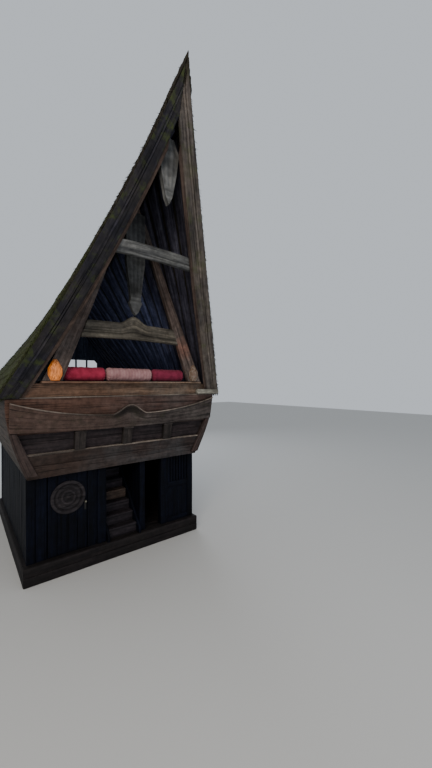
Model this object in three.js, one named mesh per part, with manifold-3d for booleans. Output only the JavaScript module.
// Small tongkonan guest house: a dark boarded ground floor, a flared timber body with an open
// gallery, and a tall saddle roof of thatch whose gables lean forward over both ends.
// Millimetres, +Z up, +Y from the front gable into the house, origin on the ground at the middle.
import * as THREE from 'three';
import { mergeVertices } from 'three/addons/utils/BufferGeometryUtils.js';
import Module from 'manifold-3d';

const wasm = await Module();
wasm.setup();

// Gap between touching pieces
const SEAT = 0.3;

// Ground floor
const HALF_WIDTH = 1800;
const HALF_DEPTH = 2149.5;
const PLINTH_TOP = 340;
const PLINTH_X = 1860;
const PLINTH_Y = 2260;
const PLINTH_EDGE = 160;
const DECK = 40;
const JOISTS = [-900, 0, 900];
const JOIST_HALF = 60;
const POST = 150;
const WALL = 60;
const WALL_SET_BACK = 20;
const BODY_BOTTOM = 1900;

// Front bays, from the left corner to the right one
const DOOR_LEFT = -1457;
const DOOR_RIGHT = -728;
const DOOR_POST_LEFT = -533;
const STAIR_LEFT = -352;
const STAIR_RIGHT = 385;
const BAY_LEFT = 520;
const BAY_RIGHT = 915;
const PANEL_LEFT = 1104;

// Door leaf on two wooden pivots, with a carved disc and a knob
const LEAF_LEFT = DOOR_LEFT + 12;
const LEAF_RIGHT = DOOR_RIGHT - 9;
const LEAF_FRONT = WALL_SET_BACK - HALF_DEPTH;
const LEAF_THICK = 50;
const PIVOT_IN = 12;
const PIVOT_RADIUS = 10;
const PIVOT_REACH = 8;
const DISC_X = -1088;
const DISC_Z = 1420;
const DISC_RADIUS = 315;
const KNOB_X = -772;
const KNOB_Z = 1270;

// Stair
const UPPER_FLOOR = 2360;
const FLOOR_THICK = 60;
const UNDER_FLOOR = UPPER_FLOOR - FLOOR_THICK;
const RISERS = 10;
const RISE = (UPPER_FLOOR - PLINTH_TOP) / RISERS;
const GOING = 195;
const FIRST_NOSING = -2100;
const STRINGER = 45;
const STRING_ABOVE = 50;
const STRING_BELOW = 250;
const STRING_FOOT = FIRST_NOSING - 120;
const TREAD = 45;
const TREAD_HOUSED = 20;
const TREAD_LAP = 30;
const RISER_SET_BACK = 20;
const RISER_THICK = 20;
const STAIR_END = FIRST_NOSING + GOING * (RISERS - 1);
const SIDE_WALL_END = -1500;

// Flared body: its gable ends lean out in a plane, and its sides swell like a boat's
const FRONT_BASE = 2270;
const LEAN = 0.183;
const FLARE = 350;
const BOARD = 120;
const SIDE_BOARD = 90;
const BAND_RECESS = 60;
const SILL_TOP = 2360;
const BAND_TOP = 2720;
const BODY_TOP = 3350;
const CAP_BOTTOM = 3610;
const CAP_TOP = 3650;
const CAP_HALF = 1650;
const CAP_FRONT = 2720;
const CAP_BACK = 2300;
const TOP_BOARD_HALF = 1955;
const BACK_TOP_BOARD_HALF = 1890;

// Three blocks and two corner ribs in the body's recessed band
const BLOCK_HALF = 100;
const BLOCK_APART = 940;
const BLOCK_PROUD = 30;
const RIB_FOOT = 1960;
const RIB_TOP = 2765;
const RIB_FOOT_WIDTH = 195;
const RIB_TOP_WIDTH = 110;
const RIB_THICK = 50;

// Bow-shaped beam with upturned ends and a crest
const BOW_HALF = 2090;
const BOW_THICK = 90;
const BOW_MIDDLE_TOP = 3000;
const BOW_END_RISE = 260;
const BOW_UNDER_RISE = 50;
const BOW_REACH = 2000;
const CREST_HALF = 400;
const CREST_RISE = 190;

// Saddle roof: thatch thickness is measured level, across the slope
const EAVE_X = 2300;
const EAVE_Y = 2577;
const THATCH = 150;
const PEAK_Y = 4640;
const PEAK_Z = 8660;
const BACK_PEAK_Y = 3350;
const BACK_PEAK_Z = 6750;
const RIDGE_LOW = 6320;
const RIDGE_LOW_AT = 0.35;
const RIDGE_ROUND = 0.3;
const BULGE = 150;
const HOLLOW = 120;
const LENGTH_STEPS = 16;
const RISE_STEPS = 12;
const COURSE_PROUD = 26;
const COURSE_LIP = 0.0015;
const CAP_LIFT = 2.4;
const CAP_SHARE = 0.998;
const CAP_SINK = 20;
const CAP_PROUD = 30;
const PLATE_INSIDE = 1960;
const PLATE_RISE = 0.024;
const PLATE_CLEAR = 0.7;
const BARGE_DEPTH = 0.016;
const BARGE_WIDTH = 190;
const BARGE_CLEAR = 1.2;
const BACK_BARGE_CLEAR = 2.7;

// Gable frame
const LEG_FRONT = 2700;
const LEG_BACK = 2600;
const LEG_INNER_FOOT = 1317;
const LEG_INNER_SLOPE = 0.362;
const LEG_OUTER_FOOT = 1648;
const LEG_OUTER_SLOPE = 0.43;
const BEAM_HALF = 70;
const BEAM_DEPTH = 180;
const BEAM_CLEAR = 8;
const BEAM_SHARE = 0.93;
const TIE_BOTTOM = 4440;
const TIE_DEPTH = 320;
const TIE_BOW = 40;
const TIE_HALF = 1300;
const TIE_SET_BACK = 30;
const BACK_TIE_HALF = 950;
const TIE_THICK = 90;
const HUMP_HALF = 330;
const HUMP_RISE = 150;
const UPPER_TIE_HALF = 840;
const UPPER_TIE_TAPER = 60;
const UPPER_TIE_BOTTOM = 5775;
const UPPER_TIE_DEPTH = 205;
const UPPER_TIE_BOW = 25;
const UPPER_TIE_CLEAR = 2.5;

// Hanging posts: half width at each height, from the tip up
const PENDANT_THICK = 100;
const KING_PROFILE = [[0, 4962], [60, 5040], [105, 5150], [135, 5200], [105, 5250], [105, 5320],
  [195, 6000], [195, 7000]];
const UPPER_PENDANT_BACK = 3980;
const UPPER_PROFILE = [[0, 6600], [63, 6730], [138, 7100], [190, 7480]];

// Back gable with its window
const GABLE_FOOT_HALF = 1600;
const GABLE_CLEAR = 15;
const WINDOW_HALF = 1050;
const WINDOW_BOTTOM = 3800;
const WINDOW_TOP = 4420;

// Bolsters on the rail, and lamps at the feet of the legs
const BOLSTER_RADIUS = 138;
const BOLSTER_Y = -2455;
const BOLSTER_ENDS = [[-1270, -497], [-492, 497], [502, 1290]];
const LAMP_X = 1440;
const LAMP_Z = 3845;
const LAMP_SIZE = [115, 110, 185];

const group = new THREE.Group();
group.name = 'tongkonan_house';

const paint = (color, roughness) => new THREE.MeshStandardMaterial({ color, roughness, metalness: 0 });
const darkTimber = () => paint(0x14171c, 0.7);
const brownTimber = () => paint(0x4a3426, 0.75);
const greyTimber = () => paint(0x6b6157, 0.85);
const barge = () => paint(0x2c2f33, 0.8);
const thatch = () => paint(0x3f3a2b, 0.95);
const redCloth = () => paint(0x8e1420, 0.9);
const roseCloth = () => paint(0xa5696b, 0.9);
const amberShade = () => paint(0xd98a2b, 0.6);
const brass = () => new THREE.MeshStandardMaterial({ color: 0xb09a6a, roughness: 0.4, metalness: 1 });

function add(parent, name, geometry, material) {
  const mesh = new THREE.Mesh(geometry, material);
  mesh.name = name;
  parent.add(mesh);
  return mesh;
}

// A plain squared timber or panel between two corners
function slab(parent, name, low, high, material) {
  const size = high.map((value, axis) => value - low[axis]);
  const mesh = add(parent, name, new THREE.BoxGeometry(...size), material);
  mesh.position.set(...high.map((value, axis) => (value + low[axis]) / 2));
  return mesh;
}

// A box whose points are moved by place(a, b, c), with a, b and c running from 0 to 1 along X, Y and Z
function shaped(steps, place) {
  const geometry = new THREE.BoxGeometry(1, 1, 1, ...steps);
  const points = geometry.attributes.position;
  for (let i = 0; i < points.count; i += 1) {
    const [x, y, z] = place(points.getX(i) + 0.5, points.getY(i) + 0.5, points.getZ(i) + 0.5);
    points.setXYZ(i, x, y, z);
  }
  return geometry;
}

// An outline in X and Z, cut through a board that runs from y0 back to y1
function sawn(outline, y0, y1) {
  const shape = new THREE.Shape(outline.map(([x, z]) => new THREE.Vector2(x, z)));
  const geometry = new THREE.ExtrudeGeometry(shape, { depth: y1 - y0, bevelEnabled: false });
  geometry.rotateX(Math.PI / 2);
  geometry.translate(0, y1, 0);
  return geometry;
}

// An outline in Y and Z, cut through a board that runs from x0 to x1
function sawnSide(outline, x0, x1) {
  const shape = new THREE.Shape(outline.map(([y, z]) => new THREE.Vector2(y, z)));
  const geometry = new THREE.ExtrudeGeometry(shape, { depth: x1 - x0, bevelEnabled: false });
  geometry.rotateZ(Math.PI / 2);
  geometry.rotateY(Math.PI / 2);
  geometry.translate(x0, 0, 0);
  return geometry;
}

function toManifold(geometry) {
  const bare = new THREE.BufferGeometry();
  bare.setAttribute('position', geometry.attributes.position);
  bare.setIndex(geometry.index);
  const merged = mergeVertices(bare, 0.001);
  return new wasm.Manifold(new wasm.Mesh({
    numProp: 3,
    vertProperties: new Float32Array(merged.attributes.position.array),
    triVerts: new Uint32Array(merged.index.array),
  }));
}

function fromManifold(solid) {
  const mesh = solid.getMesh();
  const geometry = new THREE.BufferGeometry();
  geometry.setAttribute('position', new THREE.BufferAttribute(new Float32Array(mesh.vertProperties), 3));
  geometry.setIndex(new THREE.BufferAttribute(new Uint32Array(mesh.triVerts), 1));
  geometry.computeVertexNormals();
  return geometry;
}

const joined = (geometries) => (
  fromManifold(geometries.map(toManifold).reduce((whole, piece) => whole.add(piece)))
);

const cutBy = (geometry, cutters) => (
  fromManifold(cutters.map(toManifold).reduce((whole, piece) => whole.subtract(piece), toManifold(geometry)))
);

// The same piece on the other side of the middle plane
function mirrored(geometry) {
  const other = geometry.clone();
  other.scale(-1, 1, 1);
  const corners = other.index.array;
  for (let i = 0; i < corners.length; i += 3) [corners[i], corners[i + 1]] = [corners[i + 1], corners[i]];
  return other;
}

function block(low, high) {
  const size = high.map((value, axis) => value - low[axis]);
  const geometry = new THREE.BoxGeometry(...size);
  geometry.translate(...high.map((value, axis) => (value + low[axis]) / 2));
  return geometry;
}

// Faces of the body at height z: distance of the gable boards from the middle, and half width
const frontAt = (z) => FRONT_BASE + LEAN * (z - BODY_BOTTOM);
const sideAt = (z) => (
  HALF_WIDTH + FLARE * Math.sin((z - BODY_BOTTOM) / (BODY_TOP - BODY_BOTTOM) * Math.PI / 2)
);

// Roof surface. inset is the level distance inside the thatch's outer face, along runs from -1 at
// the front gable to 1 at the back one, and rise from 0 at the eave to 1 at the ridge.
// The ridge dips behind the middle, and its back end rises much less than its front one.
const rounded = (distance) => Math.hypot(distance, RIDGE_ROUND) - RIDGE_ROUND;
function ridgeAt(along) {
  const [end, peak] = along < RIDGE_LOW_AT ? [-1, PEAK_Z] : [1, BACK_PEAK_Z];
  const share = rounded(along - RIDGE_LOW_AT) / rounded(end - RIDGE_LOW_AT);
  return RIDGE_LOW + (peak - RIDGE_LOW) * share;
}
function reachAt(height, along) {
  const peak = along < 0 ? PEAK_Y : BACK_PEAK_Y;
  return EAVE_Y + (peak - EAVE_Y) * height + BULGE * 4 * height * (1 - height);
}
function roofPoint(inset, along, rise) {
  const height = rise * (1 - inset / EAVE_X);
  const x = (EAVE_X - inset) * (1 - rise) - HOLLOW * along * along * 4 * rise * (1 - rise);
  const y = along * reachAt(height, along);
  const z = BODY_TOP + (ridgeAt(along) - BODY_TOP) * height;
  return [x, y, z];
}

// The same surface as a gable end sees it, with along at -1 on its own edge and y towards it negative
function gablePoint(end, inset, along, rise) {
  if (end === 'front') return roofPoint(inset, along, rise);
  const [x, y, z] = roofPoint(inset, -along, rise);
  return [x, -y, z];
}

// Underside of the ridge beam at a distance from the middle of the house, towards one end
const beamRise = (along) => 1 - BEAM_HALF / (EAVE_X - THATCH - 4 * HOLLOW * along * along);
function beamBottomAt(distance, end) {
  let low = 0;
  let high = 1;
  for (let i = 0; i < 40; i += 1) {
    const middle = (low + high) / 2;
    if (-gablePoint(end, THATCH, -middle, beamRise(middle))[1] < distance) low = middle;
    else high = middle;
  }
  return gablePoint(end, THATCH, -low, beamRise(low))[2] - BEAM_CLEAR - BEAM_DEPTH;
}

function groundFloor() {
  const floor = new THREE.Group();
  // Squared timbers round the edge and joists between them carry a deck
  const innerX = PLINTH_X - PLINTH_EDGE;
  const innerY = PLINTH_Y - PLINTH_EDGE;
  const starts = [-innerX, ...JOISTS.map((x) => x + JOIST_HALF)];
  const ends = [...JOISTS.map((x) => x - JOIST_HALF), innerX];
  const cells = starts.map((x, i) => block([x, -innerY, -1], [ends[i], innerY, PLINTH_TOP - DECK]));
  const plinth = cutBy(block([-PLINTH_X, -PLINTH_Y, 0], [PLINTH_X, PLINTH_Y, PLINTH_TOP]), cells);
  add(floor, 'ground_floor', plinth, greyTimber());
  const low = PLINTH_TOP + SEAT;
  const top = BODY_BOTTOM - SEAT;
  const high = UNDER_FLOOR - SEAT;
  for (const [side, x] of [['left', -HALF_WIDTH], ['right', HALF_WIDTH - POST]]) {
    for (const [end, y] of [['front', -HALF_DEPTH], ['back', HALF_DEPTH - POST]]) {
      slab(floor, `corner_post_${end}_${side}`, [x, y, low], [x + POST, y + POST, top], darkTimber());
    }
  }
  const front = -HALF_DEPTH;
  const face = front + WALL_SET_BACK;
  const postBack = front + POST;
  slab(floor, 'stair_post', [STAIR_RIGHT, front, low], [BAY_LEFT, postBack, high], darkTimber());
  slab(floor, 'bay_post', [BAY_RIGHT, front, low], [PANEL_LEFT, postBack, high], darkTimber());
  const doorPost = joined([
    block([DOOR_POST_LEFT, front, low], [STAIR_LEFT, postBack, high]),
    block([DOOR_RIGHT, face, low], [DOOR_POST_LEFT + 20, face + WALL, high]),
  ]);
  add(floor, 'door_post', doorPost, darkTimber());
  const inner = HALF_WIDTH - POST - SEAT;
  slab(floor, 'front_panel_left', [-inner, face, low], [DOOR_LEFT, face + WALL, high], darkTimber());
  slab(floor, 'front_panel_right', [PANEL_LEFT + SEAT, face, low], [inner, face + WALL, high], darkTimber());
  slab(floor, 'stair_side_wall', [STAIR_RIGHT, postBack + SEAT, low],
    [STAIR_RIGHT + WALL, SIDE_WALL_END, high], darkTimber());
  const wallEnd = HALF_DEPTH - POST - SEAT;
  const wallOut = HALF_WIDTH - 10;
  const wallIn = wallOut - WALL;
  slab(floor, 'side_wall_left', [-wallOut, -wallEnd, low], [-wallIn, wallEnd, top], darkTimber());
  slab(floor, 'side_wall_right', [wallIn, -wallEnd, low], [wallOut, wallEnd, top], darkTimber());
  slab(floor, 'back_wall', [-inner, -face - WALL, low], [inner, -face, high], darkTimber());
  return floor;
}

function door() {
  const leaf = new THREE.Group();
  const low = PLINTH_TOP + 0.5;
  const high = UNDER_FLOOR - 0.5;
  const back = LEAF_FRONT + LEAF_THICK;
  const pivot = new THREE.CylinderGeometry(PIVOT_RADIUS, PIVOT_RADIUS, high - low, 16);
  pivot.rotateX(Math.PI / 2);
  pivot.translate(LEAF_LEFT + PIVOT_IN, back - PIVOT_IN, (low + high) / 2);
  const board = block([LEAF_LEFT, LEAF_FRONT, low + PIVOT_REACH], [LEAF_RIGHT, back, high - PIVOT_REACH]);
  add(leaf, 'door_leaf', joined([board, pivot]), darkTimber());

  // Turned disc with raised rings and a boss, its axis along Y
  const rings = [[0, 0], [315, 0], [315, 28], [285, 28], [285, 16], [225, 16], [225, 26], [190, 26],
    [190, 14], [120, 14], [120, 26], [90, 26], [90, 14], [48, 14], [40, 34], [0, 36]];
  const scale = DISC_RADIUS / rings[1][0];
  const profile = rings.map(([radius, height]) => new THREE.Vector2(radius * scale, height));
  const disc = add(leaf, 'door_disc', new THREE.LatheGeometry(profile, 32), darkTimber());
  disc.rotation.x = Math.PI;
  disc.position.set(DISC_X, LEAF_FRONT - SEAT, DISC_Z);

  const knobProfile = [[0, 0], [22, 0], [22, 8], [10, 12], [10, 32], [26, 40], [26, 54], [0, 60]];
  const knobPoints = knobProfile.map(([radius, height]) => new THREE.Vector2(radius, height));
  const knob = add(leaf, 'door_knob', new THREE.LatheGeometry(knobPoints, 16), brass());
  knob.rotation.x = Math.PI;
  knob.position.set(KNOB_X, LEAF_FRONT - SEAT, KNOB_Z);
  return leaf;
}

// Steep boxed flight between two strings, from the plinth to the upper floor's edge
function stair() {
  const left = STAIR_LEFT + 5;
  const right = STAIR_RIGHT - 5;
  const nosing = (y) => PLINTH_TOP + RISE + (y - FIRST_NOSING) * RISE / GOING;
  const reach = (z) => FIRST_NOSING + (z - PLINTH_TOP - RISE) * GOING / RISE;
  const base = PLINTH_TOP + SEAT;
  const end = STAIR_END - 1;
  const cheek = [
    [STRING_FOOT, base],
    [reach(base + STRING_BELOW), base],
    [end, nosing(end) - STRING_BELOW],
    [end, UPPER_FLOOR],
    [reach(UPPER_FLOOR - STRING_ABOVE), UPPER_FLOOR],
    [STRING_FOOT, nosing(STRING_FOOT) + STRING_ABOVE],
  ];
  const pieces = [
    sawnSide(cheek, left, left + STRINGER),
    sawnSide(cheek, right - STRINGER, right),
  ];
  for (let i = 0; i < RISERS; i += 1) {
    const y = FIRST_NOSING + i * GOING;
    const z = PLINTH_TOP + (i + 1) * RISE;
    const last = i === RISERS - 1;
    const riserBack = last ? end : y + RISER_SET_BACK + RISER_THICK;
    const riserTop = last ? UPPER_FLOOR : z - TREAD + 1;
    const riserFoot = i === 0 ? base : z - RISE - 1;
    pieces.push(block([left + TREAD_HOUSED, riserBack - RISER_THICK, riserFoot],
      [right - TREAD_HOUSED, riserBack, riserTop]));
    if (!last) {
      pieces.push(block([left + TREAD_HOUSED, y, z - TREAD],
        [right - TREAD_HOUSED, Math.min(y + GOING + TREAD_LAP, end), z]));
    }
  }
  return joined(pieces);
}

function upperFloor() {
  const floor = new THREE.Group();
  const out = HALF_WIDTH - SIDE_BOARD - 1;
  const beamIn = out - POST;
  const beamEnd = HALF_DEPTH - WALL_SET_BACK - WALL - 1;
  const end = FRONT_BASE - BOARD - 1;
  for (const [side, x] of [['left', -out], ['right', beamIn]]) {
    slab(floor, `floor_beam_${side}`, [x, -beamEnd, BODY_BOTTOM + SEAT],
      [x + POST, beamEnd, UNDER_FLOOR - SEAT], brownTimber());
  }
  const leftBoards = joined([
    block([-out, -end, UNDER_FLOOR], [STAIR_LEFT, end, UPPER_FLOOR]),
    block([STAIR_LEFT - 1, STAIR_END - 0.5, UNDER_FLOOR], [STAIR_RIGHT - SEAT, end, UPPER_FLOOR]),
  ]);
  add(floor, 'upper_floor_left', leftBoards, brownTimber());
  slab(floor, 'upper_floor_right', [STAIR_RIGHT, -end, UNDER_FLOOR], [out, end, UPPER_FLOOR],
    brownTimber());
  return floor;
}

// A board across a gable end of the body, its outer face on the leaning plane
function gableBoard(z0, z1, recess, thick, half) {
  return shaped([1, 1, 4], (a, b, c) => {
    const z = z0 + (z1 - z0) * c;
    return [(2 * a - 1) * (half ?? sideAt(z)), -frontAt(z) + recess + thick * b, z];
  });
}

// A smooth bump over the middle of a board's top edge
const bump = (x, half, rise) => (Math.abs(x) < half ? rise * Math.cos(x / half * Math.PI / 2) ** 2 : 0);

function bowBeam() {
  const steps = 28;
  const top = (x) => BOW_MIDDLE_TOP + BOW_END_RISE * (Math.abs(x) / BOW_REACH) ** 2.4
    + bump(x, CREST_HALF, CREST_RISE);
  const bottom = (x) => BAND_TOP + BOW_UNDER_RISE * (x / BOW_REACH) ** 2;
  return shaped([steps, 1, 1], (a, b, c) => {
    const x = (2 * a - 1) * BOW_HALF;
    const z = bottom(x) + (top(x) - bottom(x)) * c;
    return [x, -frontAt(z) - SEAT - BOW_THICK * (1 - b), z];
  });
}

// Slightly bowed tie with a pointed hump under the king post. Its half length at height z is halfAt.
const tieBow = (x) => TIE_BOW * (1 - (x / TIE_HALF) ** 2);
function lowerTie(halfAt, y0, y1) {
  return shaped([24, 1, 1], (a, b, c) => {
    const level = TIE_BOTTOM + TIE_DEPTH * c;
    const x = (2 * a - 1) * halfAt(level);
    const hump = c > 0.5 ? bump(x, HUMP_HALF, HUMP_RISE) : 0;
    return [x, y0 + (y1 - y0) * b, level + tieBow(x) + hump];
  });
}

const legInner = (z) => LEG_INNER_FOOT - LEG_INNER_SLOPE * (z - CAP_TOP);

function leg(side) {
  const inner = legInner;
  const outer = (z) => LEG_OUTER_FOOT - LEG_OUTER_SLOPE * (z - CAP_TOP);
  const foot = CAP_TOP + SEAT;
  const top = beamBottomAt(LEG_BACK, 'front') - SEAT;
  const meet = CAP_TOP + (LEG_INNER_FOOT - 0.3) / LEG_INNER_SLOPE;
  const outline = [[inner(foot), foot], [outer(foot), foot], [outer(top), top]];
  if (meet < top) outline.push([0.3, top], [0.3, meet]);
  else outline.push([inner(top), top]);
  const points = side > 0 ? outline : outline.map(([x, z]) => [-x, z]).reverse();
  return sawn(points, -LEG_FRONT, -LEG_BACK);
}

function pendant(profile, y0, y1) {
  const left = profile.filter(([half]) => half > 0).map(([half, z]) => [-half, z]).reverse();
  return sawn([...profile, ...left], y0, y1);
}

function leftBargeboard(end) {
  const clear = end === 'front' ? BARGE_CLEAR : BACK_BARGE_CLEAR;
  return shaped([1, 1, RISE_STEPS], (a, b, c) => {
    const inset = THATCH + clear + BARGE_WIDTH * a;
    const [x, y, z] = gablePoint(end, inset, -1 + BARGE_DEPTH * b, c);
    return [-x - SEAT, y, z];
  });
}

function upperTie() {
  const along = -1 + BARGE_DEPTH;
  return shaped([8, 1, 1], (a, b, c) => {
    const x = (2 * a - 1) * (UPPER_TIE_HALF - UPPER_TIE_TAPER * c);
    const bow = UPPER_TIE_BOW * (1 - (x / UPPER_TIE_HALF) ** 2);
    const z = UPPER_TIE_BOTTOM + UPPER_TIE_DEPTH * c + bow;
    const height = (z - BODY_TOP) / (ridgeAt(along) - BODY_TOP);
    return [x, along * reachAt(height, along) + UPPER_TIE_CLEAR + TIE_THICK * b, z];
  });
}

// Recessed panel with three blocks standing on the sill and a curved rib at each corner of the body
function bandPanel() {
  const panel = gableBoard(SILL_TOP, BAND_TOP - SEAT, BAND_RECESS, BOARD - BAND_RECESS);
  const blocks = [-BLOCK_APART, 0, BLOCK_APART].map((x) => shaped([1, 1, 1], (a, b, c) => {
    const z = SILL_TOP + (BAND_TOP - SEAT - SILL_TOP) * c;
    const y = -frontAt(z) - BLOCK_PROUD + (BAND_RECESS + BLOCK_PROUD + 10) * b;
    return [x + BLOCK_HALF * (2 * a - 1), y, z];
  }));
  const rib = (side, foot, top, front, back, outside) => shaped([1, 1, 6], (a, b, c) => {
    const z = foot + (top - foot) * c;
    const outward = side > 0 ? a : 1 - a;
    const width = RIB_FOOT_WIDTH + (RIB_TOP_WIDTH - RIB_FOOT_WIDTH) * (z - RIB_FOOT) / (RIB_TOP - RIB_FOOT);
    const x = sideAt(z) + outside - width * (1 - outward);
    return [side * x, -frontAt(z) + front + (back - front) * b, z];
  });
  const ribs = [-1, 1].flatMap((side) => [
    rib(side, RIB_FOOT, RIB_TOP, -RIB_THICK - 1, -1, 8),
    rib(side, SILL_TOP + 1, BAND_TOP - 1, -20, BAND_RECESS + 10, -5),
  ]);
  return joined([panel, ...blocks, ...ribs]);
}

// Everything that both gable ends share. The group is made for the front, and the back one is turned.
function gableEnd(prefix) {
  const end = new THREE.Group();
  add(end, `${prefix}_sill_board`, gableBoard(BODY_BOTTOM, SILL_TOP - SEAT, 0, BOARD), brownTimber());
  add(end, `${prefix}_band_panel`, bandPanel(), brownTimber());
  add(end, `${prefix}_bow_beam`, bowBeam(), greyTimber());
  add(end, `${prefix}_middle_board`, gableBoard(BAND_TOP, BODY_TOP - SEAT, 0, BOARD), brownTimber());
  const railHalf = prefix === 'front' ? TOP_BOARD_HALF : BACK_TOP_BOARD_HALF;
  const rail = joined([
    gableBoard(BODY_TOP, CAP_BOTTOM + 1, 0, BOARD, railHalf),
    block([-CAP_HALF, -CAP_FRONT, CAP_BOTTOM], [CAP_HALF, -CAP_BACK, CAP_TOP]),
  ]);
  add(end, `${prefix}_rail`, rail, brownTimber());
  const rake = leftBargeboard(prefix);
  add(end, `${prefix}_bargeboard_left`, rake, barge());
  add(end, `${prefix}_bargeboard_right`, mirrored(rake), barge());
  return end;
}

// Rows of a slope as [rise, recess]: every course of thatch thins out upwards, and the foot of the
// next one stands out over it. The topmost course lies flat under the ridge cap.
const COURSE_ROWS = [[0, 0]];
for (let i = 1; i < RISE_STEPS; i += 1) {
  COURSE_ROWS.push([i / RISE_STEPS - COURSE_LIP, COURSE_PROUD], [i / RISE_STEPS, 0]);
}
COURSE_ROWS.push([1, 0]);

// The left slope of thatch, its ridge edge standing apart from the middle plane by the given distance
function leftSlope(apart) {
  const rows = COURSE_ROWS.length - 1;
  return shaped([1, LENGTH_STEPS, rows], (a, b, c) => {
    const [rise, recess] = COURSE_ROWS[Math.round(c * rows)];
    const [x, y, z] = roofPoint(recess + (THATCH - recess) * a, 2 * b - 1, rise);
    return [-x - apart, y, z];
  });
}

function roof() {
  const cover = new THREE.Group();
  add(cover, 'thatch_left', leftSlope(SEAT), thatch());
  add(cover, 'thatch_right', mirrored(leftSlope(SEAT)), thatch());
  const capRise = 1 - 1 / RISE_STEPS;
  const saddle = shaped([2, LENGTH_STEPS, 1], (a, b, c) => {
    const across = 2 * a - 1;
    const rise = 1 - (1 - capRise) * Math.abs(across);
    const inset = CAP_SINK - (CAP_SINK + CAP_PROUD) * c;
    const [x, y, z] = roofPoint(inset, CAP_SHARE * (2 * b - 1), rise);
    return [Math.sign(across) * x, y, z];
  });
  const ridge = cutBy(saddle, [leftSlope(0), mirrored(leftSlope(0))]);
  ridge.translate(0, 0, CAP_LIFT);
  add(cover, 'ridge_cap', ridge, thatch());
  const beam = shaped([1, 40, 1], (a, b, c) => {
    const along = BEAM_SHARE * (2 * b - 1);
    const [, y, z] = roofPoint(THATCH, along, beamRise(along));
    return [BEAM_HALF * (2 * a - 1), y, z - BEAM_CLEAR - BEAM_DEPTH * (1 - c)];
  });
  add(cover, 'ridge_beam', beam, brownTimber());
  const plateSteps = LENGTH_STEPS - 2;
  const plate = shaped([1, plateSteps, 1], (a, b, c) => {
    const along = plateSteps / LENGTH_STEPS * (2 * b - 1);
    const [x, y, z] = roofPoint(THATCH + PLATE_CLEAR, along, 0.0001 + PLATE_RISE * c);
    return [-PLATE_INSIDE - (x - PLATE_INSIDE) * (1 - a), y, z];
  });
  add(cover, 'wall_plate_left', plate, brownTimber());
  add(cover, 'wall_plate_right', mirrored(plate), brownTimber());
  for (const [name, side] of [['body_side_left', -1], ['body_side_right', 1]]) {
    const wall = shaped([1, 1, 8], (a, b, c) => {
      const outward = side > 0 ? a : 1 - a;
      const z = BODY_BOTTOM + (BODY_TOP - SEAT - BODY_BOTTOM) * c;
      const reach = frontAt(z) - BOARD - 0.5;
      return [side * (sideAt(z) - SIDE_BOARD * (1 - outward)), reach * (2 * b - 1), z];
    });
    add(cover, name, wall, brownTimber());
  }
  return cover;
}

// Boarded back gable with a low window band, standing on the rail cap under the thatch
function backGable() {
  const wall = new THREE.Group();
  const top = beamBottomAt(LEG_BACK, 'back') - 30;
  const halfAt = (z) => {
    let low = 0;
    let high = 1;
    for (let i = 0; i < 40; i += 1) {
      const rise = (low + high) / 2;
      const height = rise * (1 - THATCH / EAVE_X);
      const along = LEG_FRONT / reachAt(height, 1);
      if (roofPoint(THATCH, along, rise)[2] < z) low = rise;
      else high = rise;
    }
    const along = LEG_FRONT / reachAt(low * (1 - THATCH / EAVE_X), 1);
    return roofPoint(THATCH, along, low)[0];
  };
  const edge = (z) => [Math.min(GABLE_FOOT_HALF, halfAt(z) - GABLE_CLEAR), z];
  const opposite = (points) => points.map(([x, z]) => [-x, z]).reverse();
  const steps = 7;
  const slope = [];
  for (let i = 0; i <= steps; i += 1) slope.push(edge(WINDOW_TOP + (top - WINDOW_TOP) * i / steps));
  const boards = sawn([...slope, ...opposite(slope)], LEG_FRONT - WALL, LEG_FRONT);
  add(wall, 'back_gable_boards', boards, brownTimber());
  const lintel = WINDOW_TOP - SEAT;
  const right = [edge(CAP_TOP + SEAT), edge(WINDOW_BOTTOM), edge(lintel)];
  const opening = [[WINDOW_HALF, lintel], [WINDOW_HALF, WINDOW_BOTTOM]];
  const around = sawn([...right, ...opening, ...opposite(opening), ...opposite(right)],
    LEG_FRONT - WALL, LEG_FRONT);
  add(wall, 'back_window_wall', around, brownTimber());
  const tie = lowerTie(() => BACK_TIE_HALF, LEG_FRONT + SEAT, LEG_FRONT + TIE_THICK);
  add(wall, 'back_lower_tie', tie, greyTimber());
  return wall;
}

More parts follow.
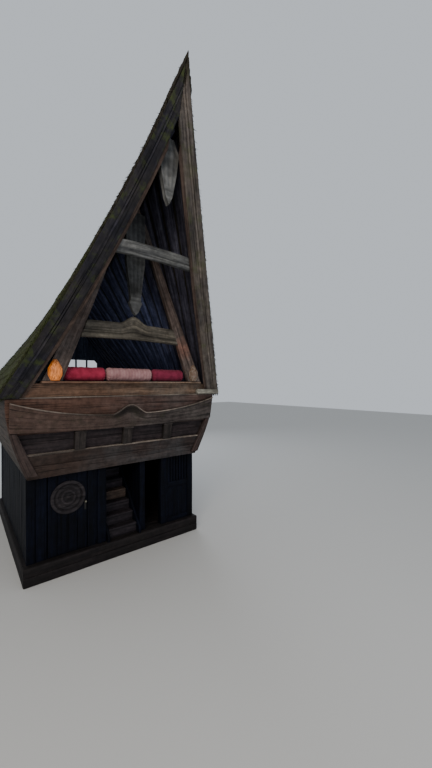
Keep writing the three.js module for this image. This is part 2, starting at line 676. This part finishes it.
function bolster(name, [x0, x1], material) {
  const half = (x1 - x0) / 2;
  const rounding = [[0, 0], [95, 4], [125, 18], [BOLSTER_RADIUS, 50]];
  const profile = [
    ...rounding.map(([radius, along]) => [radius, along - half]),
    ...rounding.map(([radius, along]) => [radius, half - along]).reverse(),
  ];
  const points = profile.map(([radius, along]) => new THREE.Vector2(radius, along));
  const cushion = add(group, name, new THREE.LatheGeometry(points, 20), material);
  cushion.rotation.z = Math.PI / 2;
  cushion.position.set((x0 + x1) / 2, BOLSTER_Y, CAP_TOP + BOLSTER_RADIUS + SEAT);
}

// Half of a stretched ball, its flat back against the foot of a leg
function lamp(name, x) {
  const [wide, deep, high] = LAMP_SIZE;
  const ball = new THREE.SphereGeometry(1, 20, 12);
  ball.rotateX(Math.PI / 2);
  ball.scale(wide, deep, high);
  const half = cutBy(ball, [block([-2 * wide, 0, -2 * high], [2 * wide, 2 * deep, 2 * high])]);
  const shade = add(group, name, half, amberShade());
  shade.position.set(x, -LEG_FRONT - SEAT, LAMP_Z);
}

group.add(groundFloor(), door(), upperFloor());
add(group, 'stair_flight', stair(), greyTimber());
const front = gableEnd('front');
add(front, 'front_leg_left', leg(-1), brownTimber());
add(front, 'front_leg_right', leg(1), brownTimber());
const frontHalf = (z) => legInner(z + tieBow(legInner(z))) - 2 * SEAT;
const frontTie = lowerTie(frontHalf, -LEG_FRONT - TIE_SET_BACK, -LEG_BACK - TIE_SET_BACK);
add(front, 'front_lower_tie', frontTie, greyTimber());
const king = pendant(KING_PROFILE, -LEG_FRONT - PENDANT_THICK, -LEG_FRONT - SEAT);
add(front, 'king_pendant', king, greyTimber());
add(front, 'front_upper_tie', upperTie(), greyTimber());
const head = [BEAM_HALF + 10, beamBottomAt(UPPER_PENDANT_BACK, 'front') - SEAT];
const upper = pendant([...UPPER_PROFILE, head], -UPPER_PENDANT_BACK - PENDANT_THICK, -UPPER_PENDANT_BACK);
add(front, 'front_upper_pendant', upper, greyTimber());
const back = gableEnd('back');
back.rotation.z = Math.PI;
group.add(front, back, roof(), backGable());
bolster('bolster_left', BOLSTER_ENDS[0], redCloth());
bolster('bolster_middle', BOLSTER_ENDS[1], roseCloth());
bolster('bolster_right', BOLSTER_ENDS[2], redCloth());
lamp('wall_lamp_left', -LAMP_X);
lamp('wall_lamp_right', LAMP_X);

export default group;
